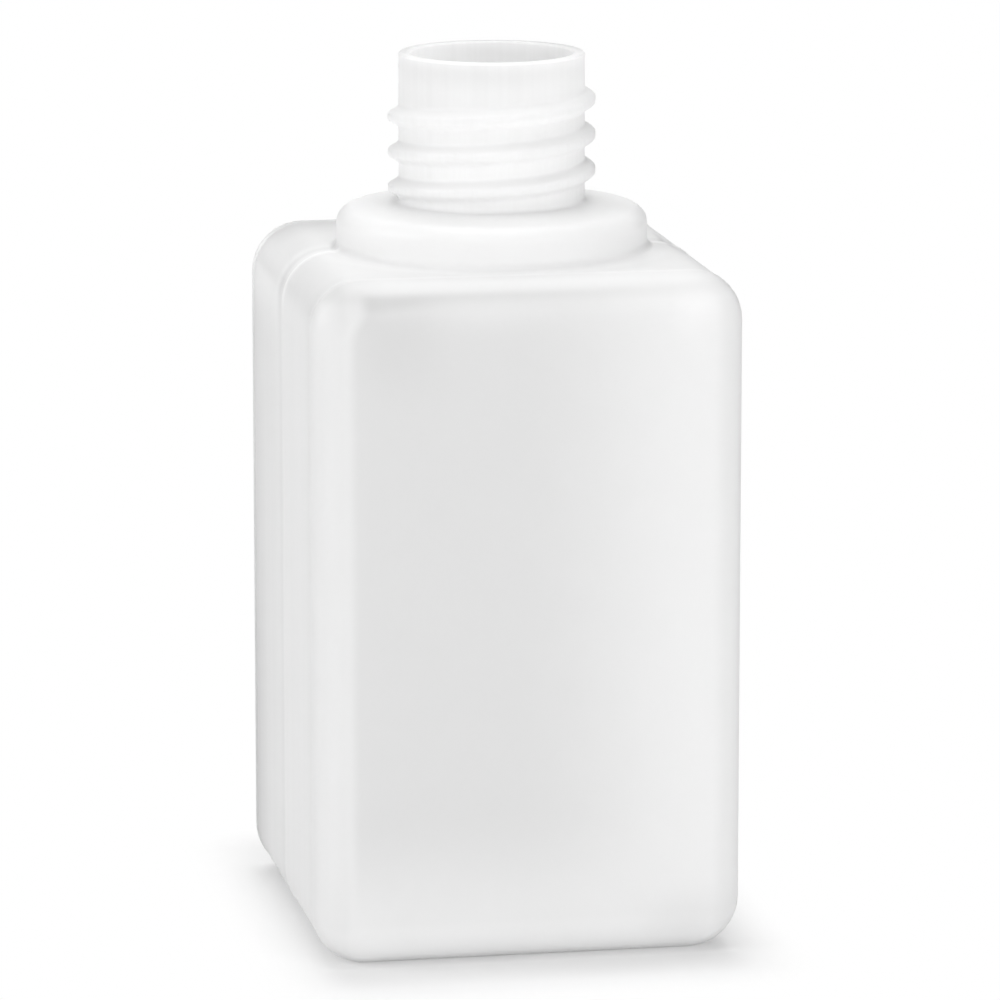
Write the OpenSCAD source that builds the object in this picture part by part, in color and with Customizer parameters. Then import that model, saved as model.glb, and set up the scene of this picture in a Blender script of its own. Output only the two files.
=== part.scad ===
// Square blow-moulded bottle with a round collar and a narrow threaded neck.
// One hollow wall of milky polyethylene, open at the mouth, with no cap.
// Millimetres. +Z is up, -Y is the front, and the origin is at the middle of the
// surface that it stands on, on the neck's axis.

/* [Body] */
// Width of the body, from side to side
body_w = 58; // [54:0.5:80]
// Depth of the body, from front to back
body_d = 59; // [54:0.5:80]
// Height of the shoulder's flat top
body_h = 92.4; // [50:0.1:160]
// Thickness of the moulded wall
wall = 1; // [0.7:0.1:1.6]

/* [Front and rear panels] */
// How far a panel's rounded edge reaches across its face
edge_w = 5.2; // [3:0.1:7]
// How far a panel's rounded edge reaches along the depth
edge_d = 4.6; // [3:0.1:7]
// Corner radius of a panel's flat face
face_corner_r = 1.7; // [1:0.1:4]
// Depth of the crease where a panel meets the side band
crease_depth = 0.3; // [0.1:0.05:0.6]
// Width of that crease
crease_w = 1.2; // [0.8:0.1:2]
// How far the side band lies inside the panels
band_step = 0.1; // [0:0.05:0.4]

/* [Parting seam] */
// Depth of the seam groove round the middle of the body
seam_depth = 0.55; // [0.2:0.05:0.6]
// Reach of the groove's short flank, towards the front
seam_front_w = 1.4; // [0.8:0.1:3]
// Reach of the groove's long flank, towards the rear
seam_rear_w = 5; // [1:0.5:9]

/* [Base] */
// Height that the underside is pushed up inside its standing rim
push_up = 1.2; // [0.5:0.1:3]
// Width of the standing rim, from the heel's curve inwards
rim_w = 4; // [2:0.5:7]

/* [Collar] */
// Outer radius of the collar
collar_r = 21; // [17:0.1:22]
// Height of the collar's edge above the shoulder
collar_h = 5.4; // [4:0.1:9]
// Radius of the collar's top edge
collar_edge_r = 2.3; // [1.7:0.1:3]
// Radius of the blend between the collar and the shoulder
collar_fillet = 1; // [0.5:0.1:1.5]
// Rise of the collar's top from its edge to the neck
collar_rise = 0.7; // [0.2:0.1:2]

/* [Neck] */
// Outer radius of the neck's plain wall
neck_r = 12.55; // [12.1:0.05:14]
// Radius of the bore
bore_r = 11; // [8:0.05:11.5]
// Height of the neck above the collar
neck_h = 20.1; // [18:0.1:30]
// Radius of the blend between the neck and the collar
neck_fillet = 0.6; // [0.2:0.1:1.2]
// Chamfer on both edges of the lip
lip_chamfer = 0.35; // [0.1:0.05:0.5]

/* [Thread] */
// Rise of the thread in one turn
pitch = 4.8; // [4:0.05:6]
// Number of turns, lead-in and run-out included
turns = 2.9; // [1:0.1:3]
// How far the thread stands out from the neck
thread_h = 1.45; // [0.8:0.05:2]
// Width of the thread at its root
thread_root_w = 3; // [2:0.1:3.6]
// Width of the thread at its crest
thread_crest_w = 0.9; // [0.4:0.1:1.8]
// Depth from the lip to the thread's upper end
thread_drop = 5.3; // [4:0.1:9]
// Direction of the thread's upper end, in degrees from the right-hand side
thread_end_angle = 65; // [0:5:355]

/* [Hidden] */

// The body's own corner radius follows from its panels
corner_r = edge_w + face_corner_r;
collar_top = body_h + collar_h;
neck_root = collar_top + collar_rise;
total_h = neck_root + neck_h;

// Steps of the rounded corners and edges
corner_steps = 9;
edge_steps = 6;
round_fn = 96;
recess_fn = 32;
arc_steps = 6;

// Overlaps that join or clear solids
sink = 0.15;
overlap = 1;

// Shape of the crease and of the seam groove, as shares of their widths and depths
crease_bottom_share = 0.4;
seam_lip_share = 0.6;
seam_lip_depth_share = 0.3;
seam_floor_share = 0.3;
seam_tail_share = 0.4;
seam_tail_depth_share = 0.6;

// Thread details: how deep its root sits in the wall, its flank, and its tapered ends
thread_sink = 0.5;
thread_flank_share = 0.6;
thread_flank_w_share = 0.72;
thread_taper_turns = 0.2;
thread_tip_share = 0.05;
thread_steps_per_turn = 30;

base_corner_r = 6;
push_up_taper = 1.5;

// Height of the pushed-up floor's plate, thin enough to count as a face
plate = 0.05;

function quarter(steps) = [for (k = [0 : steps]) 90 * k / steps];

// One cross-section of the body, in the plane of its width and height.
// It runs clockwise as seen from the front, from the bottom left corner.
function section_ring(y, half_w, low, high, r) =
    [for (c = [[-1, low + r, 270], [-1, high - r, 180], [1, high - r, 90], [1, low + r, 0]])
        for (turn = quarter(corner_steps))
            [c[0] * (half_w - r) + r * cos(c[2] - turn), y, c[1] + r * sin(c[2] - turn)]];

// How far each cross-section lies inside the largest one: a list of [depth, inset]
function panel_stations(shrink) =
    [for (turn = quarter(edge_steps))
        [-body_d / 2 + edge_d - (edge_d - shrink) * cos(turn), (edge_w - shrink) * (1 - sin(turn))]];

function crease_stations() =
    let (start = -body_d / 2 + edge_d)
    [[start + crease_w * crease_bottom_share, crease_depth], [start + crease_w, band_step]];

function seam_stations() =
    [[-seam_front_w, band_step],
     [-seam_front_w * seam_lip_share, band_step + seam_depth * seam_lip_depth_share],
     [-seam_front_w * seam_floor_share, band_step + seam_depth],
     [0, band_step + seam_depth],
     [seam_rear_w * seam_tail_share, band_step + seam_depth * seam_tail_depth_share],
     [seam_rear_w, band_step]];

function mirrored(stations) =
    [for (i = [len(stations) - 1 : -1 : 0]) [-stations[i][0], stations[i][1]]];

function body_stations(shrink) =
    let (front = concat(panel_stations(shrink), crease_stations()))
    concat(front, seam_stations(), mirrored(front));

// Faces of a tube of rings, closed at both ends
function tube_faces(rings, points) = concat(
    [[for (j = [0 : points - 1]) j]],
    [for (i = [0 : rings - 2], j = [0 : points - 1])
        let (a = i * points + j, b = i * points + (j + 1) % points)
        each [[a, a + points, b + points], [a, b + points, b]]],
    [[for (j = [points - 1 : -1 : 0]) (rings - 1) * points + j]]);

// The body's block, with every surface moved inwards by shrink
module body_block(shrink) {
    stations = body_stations(shrink);
    rings = [for (s = stations)
        section_ring(s[0], body_w / 2 - shrink - s[1], shrink + s[1],
                     body_h - shrink - s[1], corner_r - shrink - s[1])];
    polyhedron(points = [for (ring = rings) each ring],
               faces = tube_faces(len(rings), len(rings[0])), convexity = 6);
}

// A rectangle with round corners, centred on the axis
module rounded_rectangle(w, d, r) {
    hull()
        for (x = [-1, 1], y = [-1, 1])
            translate([x * (w / 2 - r), y * (d / 2 - r)]) circle(r = r, $fn = recess_fn);
}

// The hollow under the base, grown on all sides and raised by grow
module base_hollow(grow) {
    hollow_w = body_w - 2 * (corner_r + rim_w - grow);
    hollow_d = body_d - 2 * (edge_d + rim_w - grow);
    taper = 2 * push_up_taper;
    hull() {
        translate([0, 0, -overlap])
            linear_extrude(overlap + grow)
                rounded_rectangle(hollow_w, hollow_d, base_corner_r);
        translate([0, 0, push_up + grow - plate])
            linear_extrude(plate)
                rounded_rectangle(hollow_w - taper, hollow_d - taper, base_corner_r - push_up_taper);
    }
}

// Collar and neck, turned about the axis
module neck_outside() {
    foot_r = collar_r + collar_fillet;
    collar_blend = [for (turn = quarter(arc_steps))
        [foot_r - collar_fillet * sin(turn), body_h - sink + (collar_fillet + sink) * (1 - cos(turn))]];
    collar_edge = [for (turn = quarter(arc_steps))
        [collar_r - collar_edge_r * (1 - cos(turn)), collar_top - collar_edge_r * (1 - sin(turn))]];
    neck_blend = [for (turn = quarter(arc_steps))
        [neck_r + neck_fillet * (1 - sin(turn)), neck_root + neck_fillet * (1 - cos(turn))]];
    rotate_extrude($fn = round_fn)
        polygon(concat(
            [[0, body_h - wall + sink], [foot_r, body_h - wall + sink]],
            collar_blend, collar_edge, neck_blend,
            [[neck_r, total_h - lip_chamfer], [neck_r - lip_chamfer, total_h], [0, total_h]]));
}

// The hollow inside the collar and the bore through the neck
module neck_inside() {
    hollow_r = collar_r - wall;
    hollow_edge_r = collar_edge_r - wall;
    hollow_top = collar_top - wall;
    hollow_edge = [for (turn = quarter(arc_steps))
        [hollow_r - hollow_edge_r * (1 - cos(turn)), hollow_top - hollow_edge_r * (1 - sin(turn))]];
    // The throat follows the blend outside, so the wall keeps its thickness round the bend
    throat_r = neck_r + neck_fillet;
    throat = [for (turn = quarter(arc_steps))
        [throat_r - (throat_r - bore_r) * sin(turn),
         neck_root + neck_fillet - (neck_fillet + wall) * cos(turn)]];
    rotate_extrude($fn = round_fn)
        polygon(concat(
            [[0, body_h - wall - overlap], [hollow_r, body_h - wall - overlap]],
            hollow_edge, throat,
            [[bore_r, total_h - lip_chamfer], [bore_r + lip_chamfer, total_h],
             [bore_r + lip_chamfer, total_h + overlap], [0, total_h + overlap]]));
}

// A share that grows from the tip's share to one along the taper at each end
function thread_growth(turn) =
    max(thread_tip_share, min(1, turn / thread_taper_turns, (turns - turn) / thread_taper_turns));

// One cross-section of the thread, clockwise as seen along its rise
function thread_ring(turn) =
    let (angle = thread_end_angle - 360 * (turns - turn),
         height = total_h - thread_drop - pitch * (turns - turn),
         growth = thread_growth(turn),
         root_r = neck_r - thread_sink,
         flank_r = root_r + (thread_sink + thread_h * thread_flank_share) * growth,
         crest_r = root_r + (thread_sink + thread_h) * growth,
         root_z = thread_root_w / 2,
         flank_z = thread_root_w * thread_flank_w_share / 2,
         crest_z = thread_crest_w / 2)
    [for (p = [[root_r, -root_z], [root_r, root_z], [flank_r, flank_z],
               [crest_r, crest_z], [crest_r, -crest_z], [flank_r, -flank_z]])
        [p[0] * cos(angle), p[0] * sin(angle), height + p[1]]];

// The right-handed thread, a ridge carried up a helix
module thread() {
    steps = ceil(turns * thread_steps_per_turn);
    rings = [for (i = [0 : steps]) thread_ring(turns * i / steps)];
    polyhedron(points = [for (ring = rings) each ring],
               faces = tube_faces(len(rings), len(rings[0])), convexity = 8);
}

// The bottle: one moulded wall from the base to the lip
module bottle() {
    color([0.93, 0.94, 0.94])
        difference() {
            union() {
                body_block(0);
                neck_outside();
                thread();
            }
            difference() {
                body_block(wall);
                base_hollow(wall);
            }
            neck_inside();
            base_hollow(0);
        }
}

bottle();
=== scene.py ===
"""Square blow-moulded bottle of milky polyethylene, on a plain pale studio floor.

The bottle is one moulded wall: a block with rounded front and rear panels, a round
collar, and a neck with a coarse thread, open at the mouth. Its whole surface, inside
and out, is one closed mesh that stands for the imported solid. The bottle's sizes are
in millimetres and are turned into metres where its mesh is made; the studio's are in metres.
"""

import logging
import math
from dataclasses import dataclass, field
from enum import Enum
from typing import Any, Callable, Sequence

import bmesh
import bpy
import numpy as np
from mathutils import Matrix, Vector


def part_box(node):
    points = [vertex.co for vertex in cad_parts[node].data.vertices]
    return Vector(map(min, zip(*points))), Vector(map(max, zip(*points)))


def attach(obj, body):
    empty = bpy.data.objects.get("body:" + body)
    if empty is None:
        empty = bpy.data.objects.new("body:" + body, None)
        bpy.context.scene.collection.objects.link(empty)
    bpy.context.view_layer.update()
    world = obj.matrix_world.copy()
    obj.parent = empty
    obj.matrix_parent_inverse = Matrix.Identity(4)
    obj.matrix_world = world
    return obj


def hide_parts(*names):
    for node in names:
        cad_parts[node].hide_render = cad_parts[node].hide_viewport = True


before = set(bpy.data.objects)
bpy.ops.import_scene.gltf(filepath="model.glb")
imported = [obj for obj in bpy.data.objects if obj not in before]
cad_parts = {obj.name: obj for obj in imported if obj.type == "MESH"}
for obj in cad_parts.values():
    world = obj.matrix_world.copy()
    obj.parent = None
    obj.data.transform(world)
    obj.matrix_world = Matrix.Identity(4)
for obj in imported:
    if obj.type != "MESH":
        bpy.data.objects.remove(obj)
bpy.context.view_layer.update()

MM = 0.001
NODE = "bottle"
BODY = "root"

log = logging.getLogger("bottle")


class Skin(Enum):
    """Which face of the moulded wall a surface is."""

    OUTSIDE = "outside"
    INSIDE = "inside"


def ease(share: np.ndarray) -> np.ndarray:
    """Rise from 0 to 1 with level ends: three shares squared less two shares cubed."""
    held = np.clip(share, 0.0, 1.0)
    return held * held * (3.0 - 2.0 * held)


def quarter_turn(steps: int) -> np.ndarray:
    """Angles from 0 to a quarter turn in equal steps, in radians."""
    return np.linspace(0.0, math.pi / 2.0, steps + 1)


def tangent_spaced(reach: float, distance: float, steps: int) -> np.ndarray:
    """Places along a line that a turning ray meets at equal angles.

    A place is the line's distance from the pivot times the tangent of the angle.

    Args:
        reach: half the length of the line.
        distance: distance of the line from the pivot.
        steps: number of equal angles.

    Returns:
        Places from -reach to reach.
    """
    limit = math.atan2(reach, distance)
    places = distance * np.tan(np.linspace(-limit, limit, steps + 1))
    places[0], places[-1] = -reach, reach
    return places


def grid_quads(rows: int, columns: int, closed: bool) -> np.ndarray:
    """Corner numbers of the quads of a grid of points.

    Point (row, column) has number row times columns plus column.

    Args:
        rows: number of rows of points.
        columns: number of points in a row.
        closed: whether the last column joins the first.

    Returns:
        An array of rows - 1 by columns (or columns - 1) by 4 point numbers.
    """
    across = columns if closed else columns - 1
    row, column = np.meshgrid(np.arange(rows - 1), np.arange(across), indexing="ij")
    here = row * columns + column
    beside = row * columns + (column + 1) % columns
    return np.stack([here, beside, beside + columns, here + columns], axis=-1)


def placed(name: str, data: bpy.types.ID) -> bpy.types.Object:
    """Make an object from its data and link it to the scene."""
    made = bpy.data.objects.new(name, data)
    bpy.context.scene.collection.objects.link(made)
    return made


def stage_sheet(name: str, points: np.ndarray, material: bpy.types.Material) -> bpy.types.Object:
    """Make a sheet of the stage.

    Args:
        name: name of the new object.
        points: rows by columns by 3 coordinates, in metres.
        material: its finish.

    Returns:
        The sheet, linked to the scene.
    """
    mesh = bpy.data.meshes.new(name)
    quads = grid_quads(*points.shape[:2], False).reshape(-1, 4)
    mesh.from_pydata(points.reshape(-1, 3).tolist(), [], quads.tolist())
    mesh.materials.append(material)
    sheet = placed(name, mesh)
    return sheet


class Surfaces:
    """Collects grids of points and joins them into one closed mesh."""

    def __init__(self) -> None:
        """Start with no points and no faces."""
        self.points: list[np.ndarray] = []
        self.quads: list[np.ndarray] = []
        self.triangles: list[np.ndarray] = []
        self.count = 0

    def add_grid(self, points: np.ndarray, closed: bool, keep: np.ndarray | None = None) -> None:
        """Add a grid of points with its quads.

        Args:
            points: rows by columns by 3 coordinates, in millimetres.
            closed: whether each row closes on itself.
            keep: which quads are kept, or None for all.
        """
        rows, columns = points.shape[:2]
        quads = grid_quads(rows, columns, closed)
        kept = quads.reshape(-1, 4) if keep is None else quads[keep]
        self.quads.append(kept + self.count)
        self.points.append(points.reshape(-1, 3))
        self.count += rows * columns

    def add_disc(self, rings: np.ndarray, centre: np.ndarray) -> None:
        """Add closed rings that shrink towards a centre point.

        Args:
            rings: rows by columns by 3 coordinates, the outer ring first.
            centre: the point that closes the disc.
        """
        rows, columns = rings.shape[:2]
        last = self.count + (rows - 1) * columns
        self.add_grid(rings, True)
        around = np.arange(columns)
        pole = np.full(columns, self.count)
        beside = (around + 1) % columns
        self.triangles.append(np.stack([last + around, last + beside, pole], axis=-1))
        self.points.append(centre.reshape(1, 3))
        self.count += 1

    def build(self, name: str, weld: float) -> bpy.types.Object:
        """Make the mesh, join its grids' shared edges and turn all faces outwards.

        Args:
            name: name of the new object.
            weld: distance under which points are joined, in millimetres.

        Returns:
            The object, at the origin, linked to the scene.
        """
        mesh = bpy.data.meshes.new(name)
        faces = [quad for block in self.quads for quad in block.tolist()]
        faces += [triangle for block in self.triangles for triangle in block.tolist()]
        mesh.from_pydata((np.concatenate(self.points) * MM).tolist(), [], faces)
        work = bmesh.new()
        work.from_mesh(mesh)
        bmesh.ops.remove_doubles(work, verts=work.verts, dist=weld * MM)
        bmesh.ops.dissolve_degenerate(work, edges=work.edges, dist=weld * MM)
        bmesh.ops.recalc_face_normals(work, faces=work.faces)
        open_edges = sum(1 for edge in work.edges if len(edge.link_faces) != 2)
        log.info("%s: %d faces, %d edges without two faces", name, len(work.faces), open_edges)
        work.to_mesh(mesh)
        work.free()
        mesh.polygons.foreach_set("use_smooth", np.ones(len(mesh.polygons), dtype=bool))
        mesh.update()
        return placed(name, mesh)


@dataclass
class Body:
    """The body's block: an upright rounded outline carried from the front to the rear.

    At each depth the outline lies inside the largest one by an inset, which grows over
    the panels' rounded edges, at the crease beside each panel, and at the parting seam.
    """

    width: float
    depth: float
    height: float = 92.4
    wall: float = 1.0
    edge_width: float = 5.2
    edge_depth: float = 4.6
    face_corner: float = 1.7
    crease_depth: float = 0.3
    crease_width: float = 1.2
    crease_bottom_share: float = 0.4
    band_step: float = 0.1
    seam_depth: float = 0.55
    seam_front: float = 1.4
    seam_rear: float = 5.0
    seam_floor: float = 0.85
    seam_bead: float = 0.09
    seam_bead_width: float = 0.16
    push_up: float = 1.2
    rim_width: float = 4.0
    push_up_taper: float = 1.5
    panel_sink: float = 0.25
    across_steps: int = 52
    along_steps: int = 56
    upright_steps: int = 30
    corner_steps: int = 11
    edge_steps: int = 12
    crease_steps: int = 6
    bead_reach: float = 2.0
    bead_steps: int = 6
    flank_steps: int = 4
    panel_steps: int = 9

    @property
    def corner(self) -> float:
        """Radius of the outline's corners."""
        return self.edge_width + self.face_corner

    @property
    def flat_half_width(self) -> float:
        """Half the width of the flat shoulder, between the corners' arcs."""
        return self.width / 2.0 - self.corner

    @property
    def band_half_depth(self) -> float:
        """Half the depth of the side bands, between the two creases."""
        return self.depth / 2.0 - self.edge_depth - self.crease_width

    def thickness(self, skin: Skin) -> float:
        """How far a skin lies inside the outer surface."""
        return self.wall if skin is Skin.INSIDE else 0.0

    def inset(self, y: np.ndarray) -> np.ndarray:
        """Inset of the outline between the panels' rounded edges.

        The crease falls and rises between eased steps. The seam is a groove with a
        short flank in front and a long one behind, and a fine raised bead on its lip.

        Args:
            y: depths, in millimetres.

        Returns:
            How far the outline lies inside the largest one.
        """
        inward = self.depth / 2.0 - self.edge_depth - np.abs(y)
        bottom = self.crease_width * self.crease_bottom_share
        crease = self.crease_depth * ease(inward / bottom)
        crease -= (self.crease_depth - self.band_step) * ease(
            (inward - bottom) / (self.crease_width - bottom))
        front = ease((y + self.seam_front) / (self.seam_front - self.seam_floor))
        rear = ease((self.seam_rear - y) / self.seam_rear)
        seam = self.seam_depth * front * rear
        bead = np.exp(-(((y + self.seam_front) / self.seam_bead_width) ** 2))
        return crease + seam - self.seam_bead * bead

    def stations(self) -> np.ndarray:
        """Depths of the outlines on the bands, closer together near the seam's lip."""
        even = tangent_spaced(self.band_half_depth, self.flat_half_width, self.along_steps)
        bead = np.linspace(-self.bead_reach, self.bead_reach, self.bead_steps + 1)
        lip = -self.seam_front + self.seam_bead_width * bead
        flank = np.linspace(lip[-1], 0.0, self.flank_steps + 1)[1:]
        fine = np.concatenate([lip, flank])
        apart = np.abs(even[:, None] - fine[None, :]).min(axis=1) > self.seam_bead_width
        return np.sort(np.concatenate([even[apart], fine]))

    def outlines(self, skin: Skin) -> tuple[np.ndarray, np.ndarray, slice]:
        """Depths and insets of every outline, from the front face to the rear face.

        A panel's edge is a quarter ellipse: the depth falls with the sine of the turn,
        and the inset grows with one less the cosine.

        Args:
            skin: the skin that is made.

        Returns:
            The depths, the insets, and the outlines that bound the shoulder's window.
        """
        thin = self.thickness(skin)
        turn = quarter_turn(self.edge_steps)[::-1]
        shoulder = self.depth / 2.0 - self.edge_depth
        crease_y = -np.linspace(shoulder, self.band_half_depth, self.crease_steps + 1)[1:-1]
        front_y = np.concatenate([-shoulder - (self.edge_depth - thin) * np.sin(turn), crease_y])
        edge_inset = (self.edge_width - thin) * (1.0 - np.cos(turn))
        front_inset = np.concatenate([edge_inset, self.inset(crease_y)])
        band_y = self.stations()
        y = np.concatenate([front_y, band_y, -front_y[::-1]])
        inset = np.concatenate([front_inset, self.inset(band_y), front_inset[::-1]])
        return y, inset, slice(len(front_y), len(front_y) + len(band_y))

    def across(self) -> np.ndarray:
        """Places across the flat shoulder and the base."""
        return tangent_spaced(self.flat_half_width, self.band_half_depth, self.across_steps)

    def floor_rise(self, x: np.ndarray, y: np.ndarray) -> np.ndarray:
        """Height of the pushed-up base inside its standing rim.

        The rise is the product of one eased step across the width and one across the
        depth, each a taper wide.

        Args:
            x: places across the width.
            y: places along the depth.

        Returns:
            The rise at each place.
        """
        half_w = self.flat_half_width - self.rim_width
        half_d = self.depth / 2.0 - self.edge_depth - self.rim_width
        side = ease((half_w - np.abs(x)) / self.push_up_taper)
        end = ease((half_d - np.abs(y)) / self.push_up_taper)
        return self.push_up * side * end

    def outline_points(self, y: np.ndarray, inset: np.ndarray, skin: Skin) -> np.ndarray:
        """Points of the outlines, clockwise as seen from the front.

        Each outline is four straight runs joined by quarter circles whose radius is the
        corner radius less the inset.

        Args:
            y: the outlines' depths.
            inset: the outlines' insets.
            skin: the skin that is made.

        Returns:
            Outlines by points by 3 coordinates.
        """
        thin = self.thickness(skin)
        radius = (self.corner - thin - inset)[:, None]
        flat_x, top, bottom = self.flat_half_width, self.height - self.corner, self.corner
        arc = quarter_turn(self.corner_steps)[None, 1:-1]
        upright = np.linspace(bottom, top, self.upright_steps + 1)
        across = self.across()
        level = np.ones_like(upright)[None, :]
        wide = np.ones_like(across)[None, :]
        rise = self.floor_rise(across[None, ::-1], y[:, None])
        left_x, left_z = (-flat_x - radius) * level, upright[None, :] + 0.0 * radius
        top_x, top_z = across[None, :] + 0.0 * radius, (top + radius) * wide
        runs_x = [left_x, -flat_x - radius * np.cos(arc), top_x, flat_x + radius * np.sin(arc),
                  -left_x, flat_x + radius * np.cos(arc), top_x[:, ::-1],
                  -flat_x - radius * np.sin(arc)]
        runs_z = [left_z, top + radius * np.sin(arc), top_z, top + radius * np.cos(arc),
                  left_z[:, ::-1], bottom - radius * np.sin(arc), (bottom - radius) * wide + rise,
                  bottom - radius * np.cos(arc)]
        x, z = np.concatenate(runs_x, axis=1), np.concatenate(runs_z, axis=1)
        return np.stack([x, y[:, None] + 0.0 * x, z], axis=-1)

    def window_loop(self, skin: Skin) -> np.ndarray:
        """The edge of the shoulder's window, anticlockwise as seen from above.

        Args:
            skin: the skin that is made.

        Returns:
            Points by 3 coordinates, from the right side's front corner.
        """
        y, x = self.stations(), self.across()
        flat_x, band_y = self.flat_half_width, self.band_half_depth
        loop_x = np.concatenate([flat_x + 0.0 * y[:-1], x[:0:-1], -flat_x + 0.0 * y[:0:-1], x[:-1]])
        loop_y = np.concatenate([y[:-1], band_y + 0.0 * x[:-1], y[:0:-1], -band_y + 0.0 * x[:-1]])
        return np.stack([loop_x, loop_y, self.shoulder(loop_y, skin)], axis=-1)

    def shoulder(self, y: np.ndarray, skin: Skin) -> np.ndarray:
        """Height of the flat shoulder at a depth."""
        return self.height - self.thickness(skin) - self.inset(y)

    def panel_rings(self, outline: np.ndarray, side: float) -> np.ndarray:
        """Rings that shrink from a panel's outline to its middle, a little sunk.

        A ring is the outline drawn towards the middle by its share; the panel sinks by
        the product of one less the squared distances across and up.

        Args:
            outline: the panel's outline, points by 3 coordinates.
            side: -1 for the front panel and 1 for the rear.

        Returns:
            Rings by points by 3 coordinates.
        """
        middle = np.array([0.0, outline[0, 1], self.height / 2.0])
        share = np.linspace(1.0, 0.0, self.panel_steps + 1)[:-1, None, None]
        rings = middle + (outline - middle)[None] * share
        reach = np.abs(outline - middle).max(axis=0)
        off_x, off_z = rings[..., 0] / reach[0], (rings[..., 2] - middle[2]) / reach[2]
        rings[..., 1] -= side * self.panel_sink * (1.0 - off_x**2) ** 2 * (1.0 - off_z**2) ** 2
        return rings

    def add_to(self, surfaces: Surfaces, skin: Skin) -> None:
        """Add one skin of the block, with a window left open in its shoulder.

        Args:
            surfaces: where the grids go.
            skin: the skin that is made.
        """
        y, inset, band = self.outlines(skin)
        points = self.outline_points(y, inset, skin)
        first = self.upright_steps + self.corner_steps
        keep = np.ones((points.shape[0] - 1, points.shape[1]), dtype=bool)
        keep[band.start:band.stop - 1, first:first + self.across_steps] = False
        surfaces.add_grid(points, True, keep)
        for outline, side in ((points[0], -1.0), (points[-1], 1.0)):
            centre = np.array([0.0, outline[0, 1] - side * self.panel_sink, self.height / 2.0])
            surfaces.add_disc(self.panel_rings(outline, side), centre)


@dataclass
class Thread:
    """The coarse right-handed thread, a smooth ridge that climbs round the neck."""

    pitch: float = 4.8
    turns: float = 2.9
    height: float = 1.45
    root_width: float = 3.1
    crest_width: float = 0.55
    drop: float = 5.3
    end_angle: float = 65.0
    taper_turns: float = 0.2

    def ridge(self, angle: np.ndarray, below_lip: np.ndarray) -> np.ndarray:
        """How far the ridge stands out from the neck.

        The ridge's middle drops by one pitch for each turn back from its upper end. Its
        section falls from the crest to the root as a squared cosine, and it grows and
        fades over its tapers.

        Args:
            angle: directions round the neck, in radians.
            below_lip: depths below the lip, in millimetres.

        Returns:
            The height of the ridge at each place.
        """
        back = (math.radians(self.end_angle) - angle) / (2.0 * math.pi) % 1.0
        whole = np.arange(math.ceil(self.turns) + 1)
        turn = back[..., None] + whole
        off = np.abs(below_lip[..., None] - self.drop - self.pitch * turn)
        flank = (self.root_width - self.crest_width) / 2.0
        fall = np.clip((off - self.crest_width / 2.0) / flank, 0.0, 1.0)
        growth = np.clip(np.minimum(turn, self.turns - turn) / self.taper_turns, 0.0, 1.0)
        section = np.cos(fall * math.pi / 2.0) ** 2
        return self.height * (section * ease(growth)).max(axis=-1)


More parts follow.
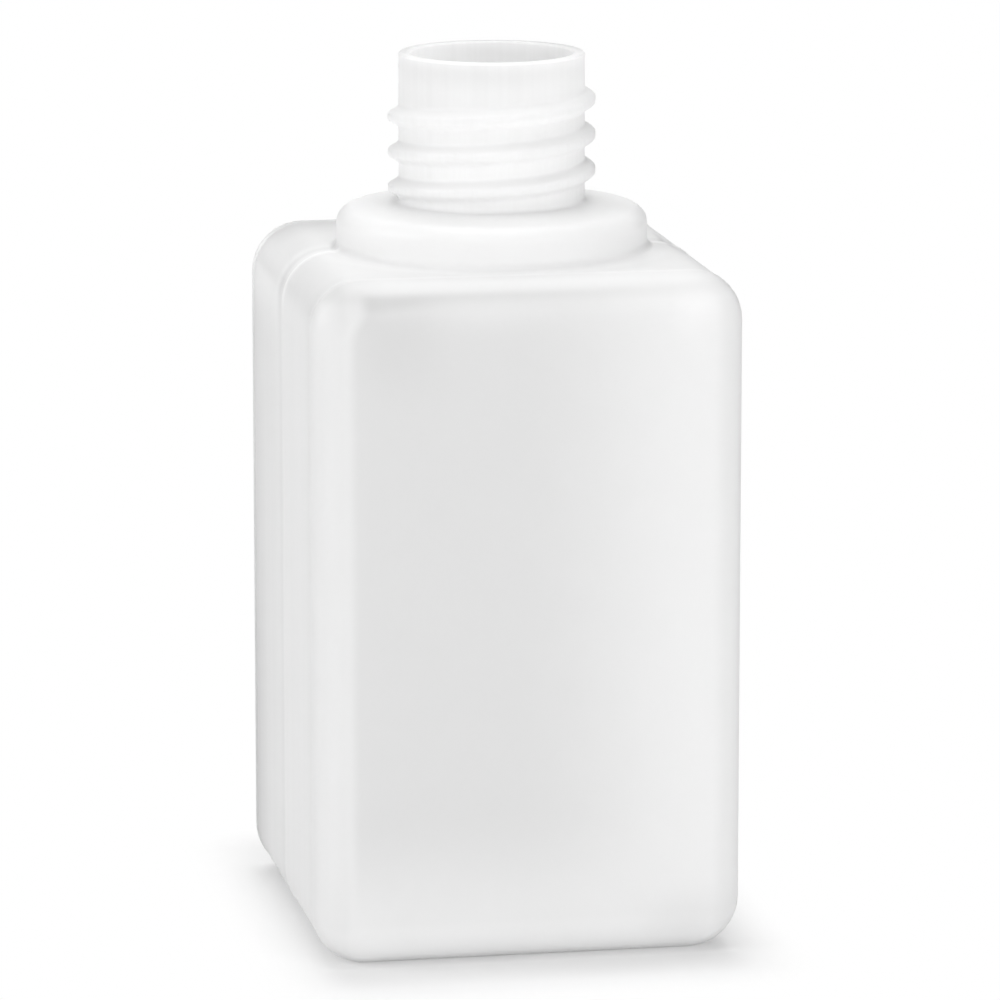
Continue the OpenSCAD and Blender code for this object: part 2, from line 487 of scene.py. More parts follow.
@dataclass
class Neck:
    """The round collar, the neck and its bore, turned about the bottle's axis."""

    total: float
    collar_radius: float = 21.0
    collar_height: float = 5.4
    collar_edge: float = 2.3
    collar_fillet: float = 1.0
    collar_rise: float = 0.7
    radius: float = 12.55
    bore: float = 11.0
    fillet: float = 0.6
    lip_round: float = 0.35
    arc_steps: int = 7
    slope_steps: int = 5
    bore_steps: int = 8
    neck_row: float = 0.24
    patch_rows: int = 3
    thread: Thread = field(default_factory=Thread)

    def root(self, body: Body) -> float:
        """Height of the neck's root above the floor."""
        return body.height + self.collar_height + self.collar_rise

    def arc(self, centre: tuple[float, float], radius: float,
            start: float, end: float) -> np.ndarray:
        """Points of an arc of the profile, as radius and height.

        Args:
            centre: the arc's centre, as radius and height.
            radius: the arc's radius.
            start: first angle in degrees, 0 outwards and 90 up.
            end: last angle in degrees.

        Returns:
            Points by 2 values.
        """
        turn = np.radians(np.linspace(start, end, self.arc_steps + 1))
        return np.array(centre) + radius * np.stack([np.cos(turn), np.sin(turn)], axis=-1)

    def outside_profile(self, body: Body) -> np.ndarray:
        """Profile from the collar's foot on the shoulder up to the top of the lip.

        Args:
            body: the block that the collar stands on.

        Returns:
            Rows of radius and height.
        """
        shoulder, root = body.height, self.root(body)
        collar_top = shoulder + self.collar_height
        foot = self.arc((self.collar_radius + self.collar_fillet, shoulder + self.collar_fillet),
                        self.collar_fillet, 270.0, 180.0)
        edge = self.arc((self.collar_radius - self.collar_edge, collar_top - self.collar_edge),
                        self.collar_edge, 0.0, 90.0)
        blend = self.arc((self.radius + self.fillet, root + self.fillet), self.fillet, 270.0, 180.0)
        slope = np.linspace(edge[-1], blend[0], self.slope_steps + 1)[1:-1]
        lip = self.arc((self.radius - self.lip_round, self.total - self.lip_round),
                       self.lip_round, 0.0, 90.0)
        rows = round((lip[0, 1] - blend[-1, 1]) / self.neck_row)
        wall_z = np.linspace(blend[-1, 1], lip[0, 1], rows + 1)[1:-1]
        wall = np.stack([self.radius + 0.0 * wall_z, wall_z], axis=-1)
        return np.concatenate([foot, edge, slope, blend, wall, lip])

    def inside_profile(self, body: Body) -> np.ndarray:
        """Profile from the lip down the bore and out to the collar's inner wall.

        The throat is a quarter ellipse round the blend outside, so the wall keeps its
        thickness round the bend.

        Args:
            body: the block that the collar stands on.

        Returns:
            Rows of radius and height.
        """
        wall = body.wall
        hollow_top = body.height + self.collar_height - wall
        hollow = self.collar_radius - wall
        hollow_edge = self.collar_edge - wall
        throat_r = self.radius + self.fillet
        throat_z = hollow_top + wall + self.collar_rise + self.fillet
        lip = self.arc((self.bore + self.lip_round, self.total - self.lip_round),
                       self.lip_round, 90.0, 180.0)
        bore_z = np.linspace(lip[-1, 1], throat_z, self.bore_steps + 1)[1:-1]
        bore = np.stack([self.bore + 0.0 * bore_z, bore_z], axis=-1)
        turn = quarter_turn(self.arc_steps)[::-1]
        throat = np.stack([throat_r - (throat_r - self.bore) * np.sin(turn),
                           throat_z - (self.fillet + wall) * np.cos(turn)], axis=-1)
        edge = self.arc((hollow - hollow_edge, hollow_top - hollow_edge), hollow_edge, 90.0, 0.0)
        foot = np.array([[hollow, body.height - wall]])
        return np.concatenate([lip, bore, throat, edge, foot])

    def turned(self, profile: np.ndarray, angle: np.ndarray) -> np.ndarray:
        """Carry a profile round the axis: radius times cosine and sine, and height.

        Args:
            profile: rows of radius and height.
            angle: directions round the axis, in radians.

        Returns:
            Rows by directions by 3 coordinates.
        """
        radius, height = profile[:, :1], profile[:, 1:] + 0.0 * angle[None, :]
        return np.stack([radius * np.cos(angle), radius * np.sin(angle), height], axis=-1)

    def add_outside(self, surfaces: Surfaces, body: Body) -> None:
        """Add the shoulder round the collar, the collar, the neck and its thread.

        Args:
            surfaces: where the grids go.
            body: the block that the collar stands on.
        """
        loop = body.window_loop(Skin.OUTSIDE)
        angle = np.arctan2(loop[:, 1], loop[:, 0])
        profile = self.outside_profile(body)
        points = self.turned(profile, angle)
        below_lip = self.total - points[..., 2]
        ridge = self.thread.ridge(np.broadcast_to(angle, below_lip.shape), below_lip)
        reach = np.hypot(points[..., 0], points[..., 1])
        on_neck = (points[..., 2] > self.root(body)) & (reach < self.radius + self.fillet)
        out = np.where(on_neck, ridge, 0.0)
        points[..., 0] += out * np.cos(angle)
        points[..., 1] += out * np.sin(angle)
        fade = 1.0 - ease((profile[:, 1] - body.height) / self.collar_fillet)
        points[..., 2] -= fade[:, None] * body.inset(points[0, :, 1])[None, :]
        surfaces.add_grid(points, True)
        self.add_patch(surfaces, loop, points[0], body, Skin.OUTSIDE)

    def add_inside(self, surfaces: Surfaces, body: Body) -> None:
        """Add the bore, the collar's hollow and the shoulder's inner face.

        Args:
            surfaces: where the grids go.
            body: the block that the collar stands on.
        """
        loop = body.window_loop(Skin.INSIDE)
        angle = np.arctan2(loop[:, 1], loop[:, 0])
        points = self.turned(self.inside_profile(body), angle)
        points[-1, :, 2] = body.shoulder(points[-1, :, 1], Skin.INSIDE)
        surfaces.add_grid(points, True)
        self.add_patch(surfaces, loop, points[-1], body, Skin.INSIDE)
        lip_in = self.turned(np.array([[self.bore + self.lip_round, self.total]]), angle)
        lip_out = self.turned(np.array([[self.radius - self.lip_round, self.total]]), angle)
        surfaces.add_grid(np.concatenate([lip_in, lip_out]), True)

    def add_patch(self, surfaces: Surfaces, loop: np.ndarray, circle: np.ndarray,
                  body: Body, skin: Skin) -> None:
        """Fill the shoulder between its window and the collar with straight rays.

        Args:
            surfaces: where the grid goes.
            loop: the window's edge.
            circle: the collar's foot, one point for each of the loop's.
            body: the block, which gives the shoulder's height at a depth.
            skin: the skin that is made.
        """
        share = np.linspace(0.0, 1.0, self.patch_rows + 1)[:, None, None]
        rows = loop[None] * (1.0 - share) + circle[None] * share
        rows[1:-1, :, 2] = body.shoulder(rows[1:-1, :, 1], skin)
        surfaces.add_grid(rows, True)


def sign(operation: str) -> Callable[["Value", "Value | float"], "Value"]:
    """A method that joins a value and another one in a Math node."""
    return lambda value, other: value.math(operation, other)


@dataclass(frozen=True)
class Value:
    """A number socket of a graph, on which the arithmetic signs add Math nodes."""

    graph: "Graph"
    socket: bpy.types.NodeSocket

    def math(self, operation: str, *others: "Value | float") -> "Value":
        """Add a Math node whose first input is this value.

        Args:
            operation: the node's operation.
            others: its further inputs.

        Returns:
            The node's result.
        """
        inputs = {0: self, **{i + 1: other for i, other in enumerate(others)}}
        node = self.graph.node("Math", inputs, operation=operation)
        return Value(self.graph, node.outputs[0])

    __add__ = __radd__ = sign("ADD")
    __sub__ = sign("SUBTRACT")
    __mul__ = __rmul__ = sign("MULTIPLY")
    __truediv__ = sign("DIVIDE")
    __pow__ = sign("POWER")

    def __rsub__(self, other: float) -> "Value":
        """A number less this value."""
        return (self * -1.0) + other

    def __abs__(self) -> "Value":
        """This value without its sign."""
        return self.math("ABSOLUTE")

    def step(self, low: float, high: float) -> "Value":
        """Rise from 0 at low to 1 at high with eased ends."""
        node = self.graph.node("MapRange", {"Value": self, "From Min": low, "From Max": high},
                               interpolation_type="SMOOTHSTEP")
        return Value(self.graph, node.outputs["Result"])


class Graph:
    """The node graph of a material or of the surround."""

    def __init__(self, owner: bpy.types.Material | bpy.types.World) -> None:
        """Empty the owner's graph.

        Args:
            owner: the material or the surround.
        """
        owner.use_nodes = True
        self.owner = owner
        self.tree = owner.node_tree
        self.tree.nodes.clear()

    def node(self, kind: str, inputs: dict[str | int, Any] | None = None,
             **settings: Any) -> bpy.types.Node:
        """Add a node.

        Args:
            kind: the node's type, without ShaderNode.
            inputs: values, Value objects or sockets, by the input's name or number.
            settings: its properties, set before its sockets.

        Returns:
            The new node.
        """
        made = self.tree.nodes.new(f"ShaderNode{kind}")
        for key, setting in settings.items():
            setattr(made, key, setting)
        for key, value in (inputs or {}).items():
            socket = value.socket if isinstance(value, Value) else value
            if isinstance(socket, bpy.types.NodeSocket):
                self.tree.links.new(socket, made.inputs[key])
            else:
                made.inputs[key].default_value = socket
        return made

    def position(self) -> bpy.types.NodeSocket:
        """The point's place in the object's own coordinates, in metres."""
        return self.node("TexCoord").outputs["Object"]

    def axes(self, vector: bpy.types.NodeSocket) -> tuple[Value, Value, Value]:
        """The three parts of a vector."""
        parts = self.node("SeparateXYZ", {0: vector}).outputs
        return tuple(Value(self, part) for part in parts)

    def noise(self, vector: bpy.types.NodeSocket, noise: "Noise") -> Value:
        """A noise from 0 to 1, read at a place in metres."""
        scaled = self.node("VectorMath", {0: vector, 1: noise.per_metre},
                           operation="MULTIPLY")
        made = self.node("TexNoise",
                         {"Vector": scaled.outputs[0], "Scale": 1.0, "Detail": noise.detail})
        return Value(self, made.outputs[0])

    def grey(self, share: Value) -> bpy.types.NodeSocket:
        """A grey whose three parts are a share."""
        return self.node("CombineColor", {i: share for i in range(3)}).outputs[0]

    def mix(self, share: Value, first: bpy.types.Node,
            second: bpy.types.Node) -> bpy.types.NodeSocket:
        """A shader that is the second one by a share, and the first one otherwise."""
        return self.node("MixShader",
                         {0: share, 1: first.outputs[0], 2: second.outputs[0]}).outputs[0]

    def seen(self) -> Value:
        """1 for rays that see a surface directly, in a gloss or through glass."""
        rays = self.node("LightPath").outputs
        direct = Value(self, rays["Is Camera Ray"]) + Value(self, rays["Is Glossy Ray"])
        return (direct + Value(self, rays["Is Transmission Ray"])).math("MINIMUM", 1.0)

    def output(self, shader: bpy.types.NodeSocket) -> bpy.types.Material | bpy.types.World:
        """Send a shader to the surface and return the graph's owner."""
        kind = "World" if isinstance(self.owner, bpy.types.World) else "Material"
        self.node(f"Output{kind}", {"Surface": shader})
        return self.owner


@dataclass(frozen=True)
class Noise:
    """A noise: the grains that a metre has along each axis, and its finer layers."""

    per_metre: tuple[float, float, float]
    detail: float


class Measure(Enum):
    """What a mask reads from a place on the wall, in millimetres."""

    X = "to the right of the middle"
    Y = "behind the middle"
    Z = "above the floor"
    # A slow wave bends the painted shade line under the panel's top.
    WAVY_Z = "above the floor, bent by a slow wave"
    SHOULDER = "above the shoulder"
    ROOT = "above the neck's root"
    LIP = "above the lip"
    FACE = "behind the front face"
    # The flat's left border bounds the painted shade on the front panel.
    FLAT = "to the right of the flat's left border, which leans inwards at its top"
    SIDE = "outwards from the sides"
    EDGE = "from where the panels' edges begin, outwards to the front and the rear"
    # The seam's pale line is a painted highlight.
    SEAM = "behind the seam's lip, in widths of its pale line"
    # The groove's mask carries a painted shadow line behind the seam's lip.
    GROOVE = "behind the middle, less a little over the bend"
    AXIS = "from the neck's axis"
    WALL = "outwards from the neck's wall"
    BORE = "outwards from the bore"
    THREAD = "above the middle of the thread's ridge"


@dataclass(frozen=True)
class Rise:
    """A mask that rises from 0 at low to 1 at high with eased ends. Low may be larger."""

    measure: Measure
    low: float
    high: float

    def share(self, value: Value) -> Value:
        """The mask at a value of its measure."""
        return value.step(self.low, self.high)


@dataclass(frozen=True)
class Line:
    """A mask that fades with eased ends from 1 at a place to 0 at a reach from it."""

    measure: Measure
    place: float
    reach: float

    def share(self, value: Value) -> Value:
        """The mask at a value of its measure."""
        return (1.0 - abs(value - self.place) / self.reach).step(0.0, 1.0)


Mask = Rise | Line


@dataclass(frozen=True)
class Shade:
    """A change of the tone, within the product of its masks."""

    name: str
    change: float
    masks: tuple[Mask, ...] = ()


@dataclass(frozen=True)
class Coat:
    """Shades that are painted within the same masks."""

    masks: tuple[Mask, ...]
    shades: tuple[Shade, ...]


class Painter:
    """Reads masks at one place and sums the shades of a coat there."""

    def __init__(self, measures: dict[Measure, Value]) -> None:
        """Start with the place's measures and with no mask made."""
        self.measures = measures
        self.made: dict[Mask, Value] = {}

    def share(self, masks: Sequence[Mask], start: Value | float = 1.0) -> Value:
        """A product of masks, each of which is made once.

        Args:
            masks: the masks.
            start: what they are multiplied with.

        Returns:
            The start times all masks.
        """
        for mask in masks:
            if mask not in self.made:
                self.made[mask] = mask.share(self.measures[mask.measure])
        return math.prod((self.made[mask] for mask in masks), start=start)

    def paint(self, coat: Coat) -> Value:
        """The sum of a coat's shades, within the coat's masks."""
        for shade in coat.shades:
            log.debug("%s: %+.3f", shade.name, shade.change)
        total = sum(self.share(shade.masks, shade.change) for shade in coat.shades)
        return self.share(coat.masks, total)


(X, Y, Z, WAVY_Z, SHOULDER, ROOT, LIP, FACE, FLAT, SIDE, EDGE,
 SEAM, GROOVE, AXIS, WALL, BORE, THREAD) = Measure
ON_BODY = Rise(SHOULDER, 1.2, -0.2)
OVER_BODY = Rise(SHOULDER, -0.2, 1.2)
ON_COLLAR = Rise(ROOT, 1.0, -1.0)
ON_NECK = Rise(ROOT, -1.0, 1.0)
UP_NECK = Rise(ROOT, 3.0, 16.0)
ON_LIP = (Rise(LIP, -0.4, -0.2), Rise(BORE, 0.1, 0.6))
ON_FACE = Rise(FACE, 2.7, 1.7)
BEFORE_BAND = Rise(FACE, 4.9, 3.5)
FROM_RIGHT = Rise(X, 25.0, -3.0)
ARC = Rise(Z, 83.0, 87.5)
BEND = (Rise(Z, 78.0, 88.0), Rise(Z, 92.4, 89.0))
REAR = Rise(Y, 1.0, 6.0)
REAR_EDGE = (Rise(Y, 11.0, 25.0), Rise(Y, 29.0, 26.5))
SEAM_HIGHLIGHT = Line(SEAM, 0.0, 1.0)
GROOVE_SHADE = Line(GROOVE, 2.4, 1.2)
CREASE_HIGHLIGHT = Line(EDGE, 0.6, 0.6)


@dataclass(frozen=True)
class TonesAndPaintedLight:
    """How pale the moulded wall is from place to place, as shares of light sent back.

    The base tone, the mottle and the die's streaks are the wall's own. The coats are
    painted light and shade: painted shade on the front panel's flat, above all at its
    left and top, and towards the rear, more so lower down; painted light on the neck and
    a painted highlight along the seam's lip, with a painted shadow line behind it. The
    neck has painted shade growing towards its lip, and the lip has a painted highlight in
    front and painted shade at its rear.
    """

    pale: float = 0.92
    side_streak: float = 0.05
    neck_streak: float = 0.15
    mottle: float = 0.014
    on_sides: Rise = Rise(SIDE, -3.0, -0.6)
    over_collar: Rise = Rise(SHOULDER, 5.0, 7.0)
    # Painted shade on the front panel's flat: darker over its left part, most above the foot, at
    # its top left corner and along a wavy line under its top; painted light over the whole flat and
    # under its top edge, and a painted highlight in a pale spot at its top right.
    flat: Coat = Coat((
        ON_BODY, ON_FACE, Rise(FLAT, -1.4, 0.8), Rise(SHOULDER, -1.3, -2.4),
    ), (
        Shade("whole flat", 0.025),
        Shade("left half", -0.02025, (FROM_RIGHT,)),
        Shade("left half above the foot", -0.11475, (FROM_RIGHT, Rise(Z, 4.0, 21.0))),
        Shade("top left corner", -0.045, (Line(X, -18.5, 10.0), Line(Z, 85.5, 12.0))),
        Shade("wavy line under the top", -0.05,
              (Line(WAVY_Z, 89.7, 1.2), Rise(X, -9.0, -19.0))),
        Shade("under the top edge", 0.04, (Line(X, -5.0, 14.0), Line(Z, 88.0, 3.5))),
        Shade("pale spot", 0.04, (Line(X, 21.6, 3.6), Line(Z, 87.6, 4.6))),
    ))
    # Painted shade on the panel's rounded edges at its right, left and top, strongest at the top
    # left, and right of its foot; painted light along the foot, standing in for light from the
    # floor.
    edges: Coat = Coat((ON_BODY,), (
        Shade("right edge", -0.065, (Rise(X, 24.0, 26.6),)),
        Shade("left edge", -0.035, (Rise(X, -24.2, -25.4), BEFORE_BAND)),
        Shade("top edge", -0.07, (Rise(SHOULDER, -3.4, -1.8), BEFORE_BAND)),
        Shade("top left edge", -0.10,
              (Line(X, -24.5, 6.0), Line(SHOULDER, -2.0, 6.0), BEFORE_BAND)),
        Shade("right of the foot", -0.07, (Line(X, 22.0, 11.0), Line(Z, 4.0, 7.0), ON_FACE)),
        Shade("foot", 0.04, (Rise(Z, 6.5, 4.0), ON_FACE)),
    ))
    # Painted shade towards the rear and on the rear edge, more so at its foot, taken back over the
    # bend; painted shade on the rear shoulder and rim, beside the crease and on the right shoulder,
    # with a dark line across it; painted light on the bend and in a ring before the collar.
    sides: Coat = Coat((ON_BODY,), (
        Shade("rear", -0.045, (REAR,)),
        Shade("rear over the bend", 0.045, (REAR, *BEND)),
        Shade("rear edge", -0.07, REAR_EDGE),
        Shade("rear edge over the bend", 0.07, (*REAR_EDGE, *BEND)),
        Shade("rear edge's foot", -0.11, (*REAR_EDGE, Rise(Z, 75.0, 12.0))),
        Shade("bend", 0.05, (*BEND, Rise(Y, 2.8, 4.6), REAR_EDGE[1])),
        Shade("rear shoulder", -0.07, (Rise(Y, 12.0, 24.0), Rise(Z, 88.5, 92.4))),
        Shade("rear rim", -0.12, (Rise(Y, 24.8, 26.6), BEND[0])),
        Shade("beside the crease", -0.03, (Line(EDGE, -1.8, 4.0),)),
        # Painted highlight along the crease, brighter over the arc.
        Shade("crease", 0.02, (CREASE_HIGHLIGHT,)),
        Shade("crease's arc", 0.05, (CREASE_HIGHLIGHT, ARC)),
        # Painted shadow line in the groove behind the seam's lip, darker over the arc.
        Shade("groove", -0.06, (GROOVE_SHADE,)),
        Shade("groove's arc", -0.036, (GROOVE_SHADE, ARC)),
        # Painted highlight along the seam's lip, brighter over the arc.
        Shade("seam", 0.02, (SEAM_HIGHLIGHT,)),
        Shade("seam's arc", 0.12, (SEAM_HIGHLIGHT, ARC)),
        Shade("right shoulder", -0.12,
              (Rise(X, 20.0, 22.0), Line(Y, -4.0, 10.0), Rise(Z, 90.5, 91.8))),
        Shade("line on the right shoulder", -0.25,
              (Line(X, 24.1, 0.8), Line(Y, 0.5, 9.0), Rise(Z, 91.0, 91.6))),
        Shade("ring before the collar", 0.04,
              (Line(AXIS, 24.2, 2.0), Rise(Z, 91.8, 92.2), Rise(Y, 0.0, -6.0))),
    ))
    # Painted light on the neck and on the thread's upper flanks, where the ridge above shades them;
    # painted shade growing up the neck, at its right and below the lip.
    column: Coat = Coat((OVER_BODY, ON_NECK), (
        Shade("neck", 0.06),
        Shade("upper neck", -0.04, (UP_NECK,)),
        Shade("right of the neck", -0.08, (UP_NECK, Rise(X, 5.0, 12.0))),
        Shade("below the lip", -0.2, (Rise(LIP, -4.5, -0.7), Rise(LIP, -0.2, -0.4))),
        Shade("thread's upper flank", 0.1,
              (Line(THREAD, 1.1, 0.9), Rise(WALL, -0.1, 0.0),
               Rise(LIP, -3.8, -5.3))),
    ))
    # Painted light on the collar; painted shade on its front and at the right and left of its top;
    # a painted highlight on the lip, with painted shade on its rear and down the bore.
    collar: Coat = Coat((OVER_BODY,), (
        Shade("collar", 0.08, (ON_COLLAR,)),
        Shade("collar's front", -0.05, (Line(ROOT, -2.3, 3.4), Rise(Y, -10.0, -17.0))),
        Shade("right of its top", -0.08, (Line(X, 17.0, 4.5), Line(Y, -5.0, 8.0), ON_COLLAR)),
        Shade("left of its top", -0.05,
              (Rise(X, -6.0, -16.0), ON_COLLAR, Rise(ROOT, -3.0, -1.0))),
        Shade("lip", 0.05, ON_LIP),
        Shade("lip's rear", -0.38, (*ON_LIP, Rise(Y, -4.0, 3.0))),
        Shade("bore", -0.03, (Rise(BORE, 0.3, 0.0),)),
    ))


@dataclass(frozen=True)
class MilkyPolyethylene:
    """Natural polyethylene as moulded: milky, with light coming through, and satin."""

    tones_and_painted_light: TonesAndPaintedLight = field(default_factory=TonesAndPaintedLight)
    glow: float = 0.93
    through: float = 0.3
    neck_foot_through: float = 0.36
    neck_top_through: float = 0.64
    up_neck: Rise = Rise(LIP, -16.0, -5.0)
    roughness: float = 0.36
    roughness_spread: float = 0.08
    specular: float = 0.3
    ior: float = 1.5
    peel_height: float = 0.012
    dimple_height: float = 0.008
    wave_height: float = 0.08
    streak_height: float = 0.03
    # Shapes of painted lines: the wavy shade line under the panel's top, the leaning border of the
    # flat's painted shade, the seam's painted highlight and the groove's painted shadow line.
    shade_line_wave: float = 1.6
    shade_border_lean: float = 1.8
    shade_border_rise: tuple[float, float] = (84.5, 89.0)
    seam_highlight_start: float = 0.6
    seam_highlight_width: float = 0.7
    seam_highlight_growth: float = 0.5
    groove_shade_shift: float = 0.2
    grain: Noise = Noise((300.0, 300.0, 200.0), 2.0)
    peel: Noise = Noise((900.0, 900.0, 900.0), 1.0)
    dimple: Noise = Noise((350.0, 350.0, 350.0), 0.0)
    wave: Noise = Noise((70.0, 70.0, 40.0), 0.0)
    side_streaks: Noise = Noise((420.0, 420.0, 9.0), 1.0)
    neck_streaks: Noise = Noise((1300.0, 1300.0, 14.0), 1.0)

    def measures(self, axes: tuple[Value, Value, Value], wave: Value,
                 body: Body, neck: Neck) -> dict[Measure, Value]:
        """What the masks read at a place.

        The distance above the thread's ridge is taken to its nearest turn: the height
        below its upper end over the pitch, plus the share of a turn back from that end,
        wrapped to half a turn on each side, times the pitch.

        Args:
            axes: the place's three parts, in millimetres.
            wave: a slow noise from 0 to 1.
            body: the block.
            neck: the collar and the neck.

        Returns:
            The value of each measure.
        """
        x, y, z = axes
        thread = neck.thread
        arc = ARC.share(z)
        reach = (x * x + y * y) ** 0.5
        full = 2.0 * math.pi
        turned = y.math("ARCTAN2", x) / -full + math.radians(thread.end_angle) / full
        turns = (z - neck.total + thread.drop) / thread.pitch + turned
        # The left border of the flat's painted shade leans inwards at its top.
        lean = z.step(*self.shade_border_rise) * self.shade_border_lean
        # Distance behind the middle of the seam's painted highlight.
        past_seam_highlight = y + body.seam_front + self.seam_highlight_start
        return {
            X: x,
            Y: y,
            Z: z,
            WAVY_Z: z + (wave - 0.5) * self.shade_line_wave,
            SHOULDER: z - body.height,
            ROOT: z - neck.root(body),
            LIP: z - neck.total,
            FACE: y + body.depth / 2.0,
            FLAT: x - lean + body.width / 2.0 - body.edge_width,
            SIDE: abs(x) - body.width / 2.0,
            EDGE: abs(y) - (body.depth / 2.0 - body.edge_depth),
            SEAM: past_seam_highlight / (arc * self.seam_highlight_growth + self.seam_highlight_width),
            # The groove's painted shadow line moves back a little over the arc.
            GROOVE: y - arc * self.groove_shade_shift,
            AXIS: reach,
            WALL: reach - neck.radius,
            BORE: reach - neck.bore,
            THREAD: turns.math("WRAP", 0.5, -0.5) * thread.pitch,
        }

    def material(self, body: Body, neck: Neck) -> bpy.types.Material:
        """Build the finish.

        Args:
            body: the block, whose sides carry the die's streaks.
            neck: the collar and the neck.

        Returns:
            The material.
        """
        graph = Graph(bpy.data.materials.new("milky_polyethylene"))
        place = graph.position()
        x, y, z = (axis / MM for axis in graph.axes(place))
        grain, peel, dimple, wave, side_streaks, neck_streaks = (
            graph.noise(place, noise) for noise in (self.grain, self.peel, self.dimple, self.wave,
                                                    self.side_streaks, self.neck_streaks))
        painter = Painter(self.measures((x, y, z), wave, body, neck))
        tones_and_painted_light = self.tones_and_painted_light
        side_streaks = painter.share((tones_and_painted_light.on_sides, ON_BODY), side_streaks - 0.5)
        neck_streaks = painter.share((tones_and_painted_light.over_collar,), neck_streaks - 0.5)
        # The coats add painted light and shade to the wall's tone; the streaks and the mottle are
        # its own.
        tone = sum(painter.paint(coat) for coat in (tones_and_painted_light.flat, tones_and_painted_light.edges, tones_and_painted_light.sides,
                                                    tones_and_painted_light.column, tones_and_painted_light.collar))
        tone = tone + side_streaks * tones_and_painted_light.side_streak + neck_streaks * tones_and_painted_light.neck_streak
        tone = (tone + (grain - 0.5) * tones_and_painted_light.mottle + tones_and_painted_light.pale).math("MINIMUM", 1.0)
        height = peel * self.peel_height + dimple * self.dimple_height + wave * self.wave_height
        height = height + (side_streaks + neck_streaks) * self.streak_height
        bump = graph.node("Bump",
                          {"Height": height, "Distance": MM, "Strength": 1.0})
        skin = graph.node("BsdfPrincipled", {
            "Base Color": graph.grey(tone),
            "Roughness": (peel - 0.5) * self.roughness_spread + self.roughness,
            "IOR": self.ior,
            "Specular IOR Level": self.specular,
            "Normal": bump.outputs[0],
        })
        milk = graph.node("BsdfTranslucent",
                          {"Color": (self.glow, self.glow, self.glow, 1.0)})
        gain = painter.share((self.up_neck,), self.neck_top_through - self.neck_foot_through)
        on_neck = gain + (self.neck_foot_through - self.through)
        share = painter.share((tones_and_painted_light.over_collar,), on_neck) + self.through
        return graph.output(graph.mix(share, skin, milk))


@dataclass(frozen=True)
class StudioWhite:
    """The pale floor: it keeps the shadow near the object and turns white beyond it."""

    colour: float = 0.93
    half_width: float = 0.0248
    half_depth: float = 0.036
    white_reach: float = 0.013
    painted_glow_below: float = 0.25
    painted_glow_width: tuple[float, float] = (0.029, 0.0275)
    painted_glow_depth: tuple[float, float] = (0.0305, 0.0285)
    painted_shadow_strength: float = 0.09
    painted_shadow_place: float = -0.0315
    painted_shadow_reach: float = 0.009
    painted_shadow_width: tuple[float, float] = (0.034, 0.022)

    def material(self) -> bpy.types.Material:
        """Build the finish.

        For rays that see it directly, or in a gloss, the floor changes to plain white
        over a reach beyond the footprint. The distance from the footprint is the root
        of the squared distances beyond its sides and beyond its ends. Right under the
        bottle it glows a little for those rays, a painted light for light coming through
        the bottle, and in front of it a painted shadow makes the floor a little greyer.

        Returns:
            The material.
        """
        graph = Graph(bpy.data.materials.new("studio_white"))
        x, y, _ = graph.axes(graph.position())
        beside = (abs(x) - self.half_width).math("MAXIMUM", 0.0)
        before = (abs(y) - self.half_depth).math("MAXIMUM", 0.0)
        away = (beside * beside + before * before) ** 0.5
        # Painted light: a glow under the bottle for rays that see the floor.
        below = abs(y).step(*self.painted_glow_depth) * abs(x).step(*self.painted_glow_width) * self.painted_glow_below
        beyond = (away.step(0.0, self.white_reach) + below) * graph.seen()
        # Painted shadow: the floor's colour is greyer in a band in front of the bottle.
        painted_shadow_band = (1.0 - abs(y - self.painted_shadow_place) / self.painted_shadow_reach).step(0.0, 1.0)
        loss = painted_shadow_band * abs(x).step(*self.painted_shadow_width) * self.painted_shadow_strength
        shade = graph.grey(self.colour - loss)
        paint = graph.node("BsdfDiffuse", {"Color": shade})
        white = graph.node("Emission", {"Strength": 1.0})
        return graph.output(graph.mix(beyond, paint, white))


@dataclass
class Bottle:
    """The whole bottle: body, collar, neck and thread as one closed wall."""

    body: Body
    neck: Neck
    weld: float = 0.0005
    finish: MilkyPolyethylene = field(default_factory=MilkyPolyethylene)

    def build(self) -> bpy.types.Object:
        """Make the bottle's mesh and dress it.

        Returns:
            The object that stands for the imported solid.
        """
        surfaces = Surfaces()
        for skin in Skin:
            self.body.add_to(surfaces, skin)
        self.neck.add_outside(surfaces, self.body)
        self.neck.add_inside(surfaces, self.body)
        piece = surfaces.build("moulded_bottle", self.weld)
        piece.data.materials.append(self.finish.material(self.body, self.neck))
        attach(piece, BODY)
        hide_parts(NODE)
        return piece


@dataclass(frozen=True)
class Lamp:
    """A soft square lamp."""

    name: str
    place: tuple[float, float, float]
    size: float
    power: float

    def build(self, target: tuple[float, float, float]) -> bpy.types.Object:
        """Make the lamp, which looks at a point.

        Args:
            target: the point.

        Returns:
            The lamp.
        """
        data = bpy.data.lights.new(self.name, "AREA")
        data.shape = "SQUARE"
        data.size = self.size
        data.energy = self.power
        lamp = placed(self.name, data)
        lamp.location = self.place
        look = Vector(target) - lamp.location
        lamp.rotation_euler = look.to_track_quat("-Z", "Y").to_euler()
        return lamp


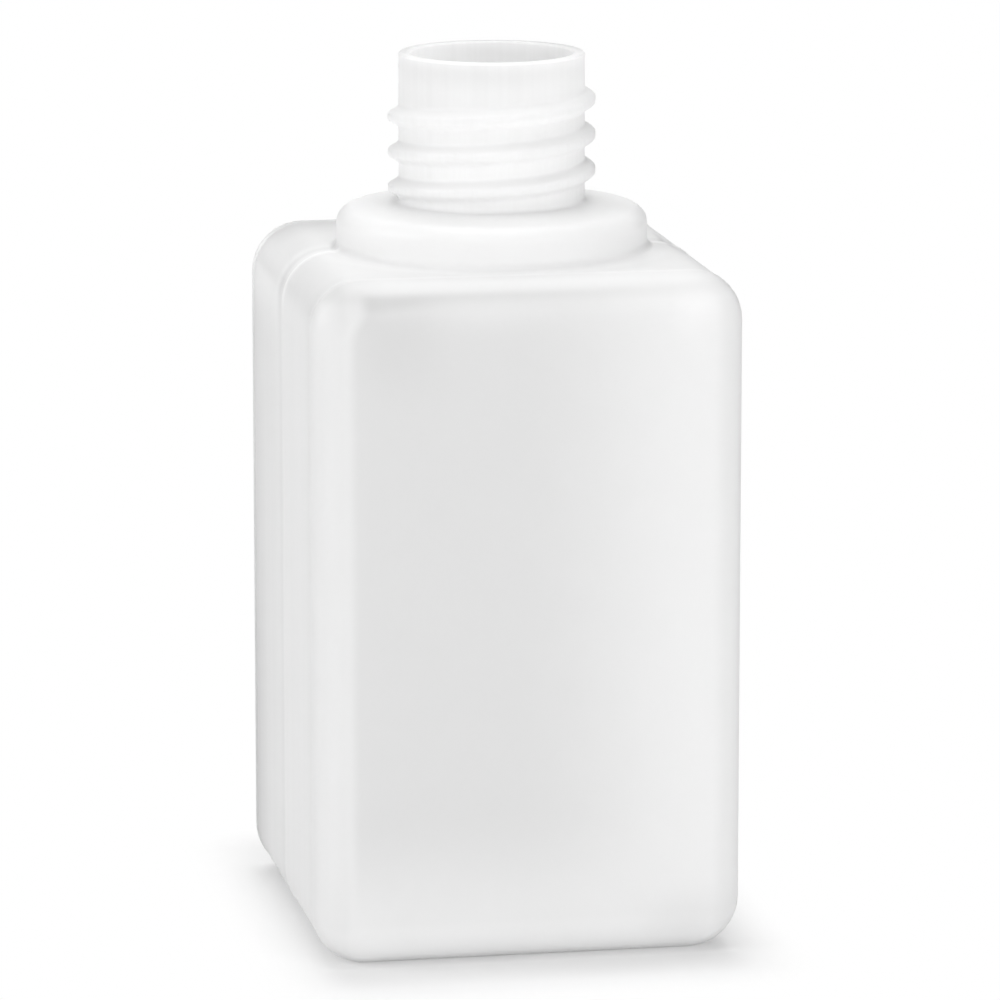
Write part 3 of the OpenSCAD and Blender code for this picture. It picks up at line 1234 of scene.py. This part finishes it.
@dataclass(frozen=True)
class EdgeCard:
    """A dark upright card behind the object, which draws a dark edge on its outline.

    It stands on an arc round the object, outside the camera's view, and the camera
    never sees it.
    """

    name: str
    start: float
    end: float
    radius: float = 1.25
    top: float = 0.5
    steps: int = 8
    colour: tuple[float, float, float] = (0.02, 0.02, 0.02)

    def build(self) -> bpy.types.Object:
        """Make the card: radius times the sine and cosine of its angles, carried up.

        Returns:
            The card, hidden from camera rays.
        """
        angle = np.radians(np.linspace(self.start, self.end, self.steps + 1))
        x, y = self.radius * np.sin(angle), self.radius * np.cos(angle)
        rows = np.stack([np.stack([x, y, z + 0.0 * x], axis=-1) for z in (0.0, self.top)])
        graph = Graph(bpy.data.materials.new(self.name))
        paint = graph.node("BsdfDiffuse", {"Color": (*self.colour, 1.0)})
        card = stage_sheet(self.name, rows, graph.output(paint.outputs[0]))
        card.visible_camera = False
        return card


@dataclass
class Studio:
    """Floor, surrounding white, lamps and camera."""

    floor_half: float = 6.0
    floor_steps: int = 8
    surround: float = 0.2
    seen_surround: float = 1.0
    middle: tuple[float, float, float] = (0.0, 0.0, 0.055)
    camera_place: tuple[float, float, float] = (-0.15807, -0.84151, 0.22951)
    camera_turn: float = 0.1870
    camera_tilt: float = 0.1987
    camera_lens: float = 230.7
    sensor_width: float = 36.0
    clip: tuple[float, float] = (0.01, 100.0)
    finish: StudioWhite = field(default_factory=StudioWhite)

    def lamps(self) -> tuple[Lamp, ...]:
        """The soft lamps round the object, the strongest one above it."""
        return (
            Lamp("above", (0.05, 0.10, 1.1), 0.8, 7.4),
            Lamp("right_window", (0.65, -1.0, 0.40), 0.6, 4.7),
            Lamp("left_window", (-1.0, 0.0, 0.45), 0.6, 5.25),
            Lamp("over_camera", (-0.35, -1.3, 0.65), 0.8, 2.5),
            Lamp("under_camera", (0.1, -1.3, 0.2), 0.5, 3.4),
            Lamp("high_behind", (0.0, 0.75, 0.85), 0.7, 1.45),
        )

    def cards(self) -> tuple[EdgeCard, ...]:
        """The dark cards, by their angles in degrees from +Y towards +X."""
        return (EdgeCard("left_card", -42.0, 1.0), EdgeCard("right_card", 20.0, 64.0))

    def build_floor(self) -> bpy.types.Object:
        """Make the floor as a level grid at the height that the bottle stands on."""
        places = np.linspace(-self.floor_half, self.floor_half, self.floor_steps + 1)
        x, y = np.meshgrid(places, places, indexing="ij")
        return stage_sheet("floor", np.stack([x, y, 0.0 * x], axis=-1), self.finish.material())

    def build_surround(self) -> bpy.types.World:
        """Make the white surround, which is white where it is seen or mirrored."""
        graph = Graph(bpy.data.worlds.new("surround"))
        light, seen = (graph.node("Background", {"Strength": strength})
                       for strength in (self.surround, self.seen_surround))
        bpy.context.scene.world = graph.output(graph.mix(graph.seen(), light, seen))
        return bpy.context.scene.world

    def build_camera(self) -> bpy.types.Object:
        """Make the camera: it looks along +Y, turned to the right and tilted down."""
        data = bpy.data.cameras.new("camera")
        data.sensor_width = self.sensor_width
        data.lens = self.camera_lens
        data.clip_start, data.clip_end = self.clip
        camera = placed("camera", data)
        turn = Matrix.Rotation(-self.camera_turn, 4, "Z")
        tilt = Matrix.Rotation(math.pi / 2.0 - self.camera_tilt, 4, "X")
        camera.matrix_world = Matrix.Translation(self.camera_place) @ turn @ tilt
        bpy.context.scene.camera = camera
        return camera

    def build(self) -> None:
        """Make the whole studio."""
        self.build_camera()
        self.build_floor()
        self.build_surround()
        for lamp in self.lamps():
            log.info("lamp %s", lamp.build(self.middle).name)
        for card in self.cards():
            log.info("card %s", card.build().name)
        bpy.context.scene.view_settings.view_transform = "Standard"


def main() -> None:
    """Build the studio and the bottle."""
    logging.basicConfig(level=logging.INFO)
    low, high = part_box(NODE)
    width, depth, total = (round((high[i] - low[i]) / MM, 3) for i in range(3))
    log.info("packed bottle: %.2f x %.2f x %.2f mm", width, depth, total)
    Studio().build()
    piece = Bottle(Body(width, depth), Neck(total)).build()
    log.info("piece %s", piece.name)


if __name__ == "__main__":
    main()
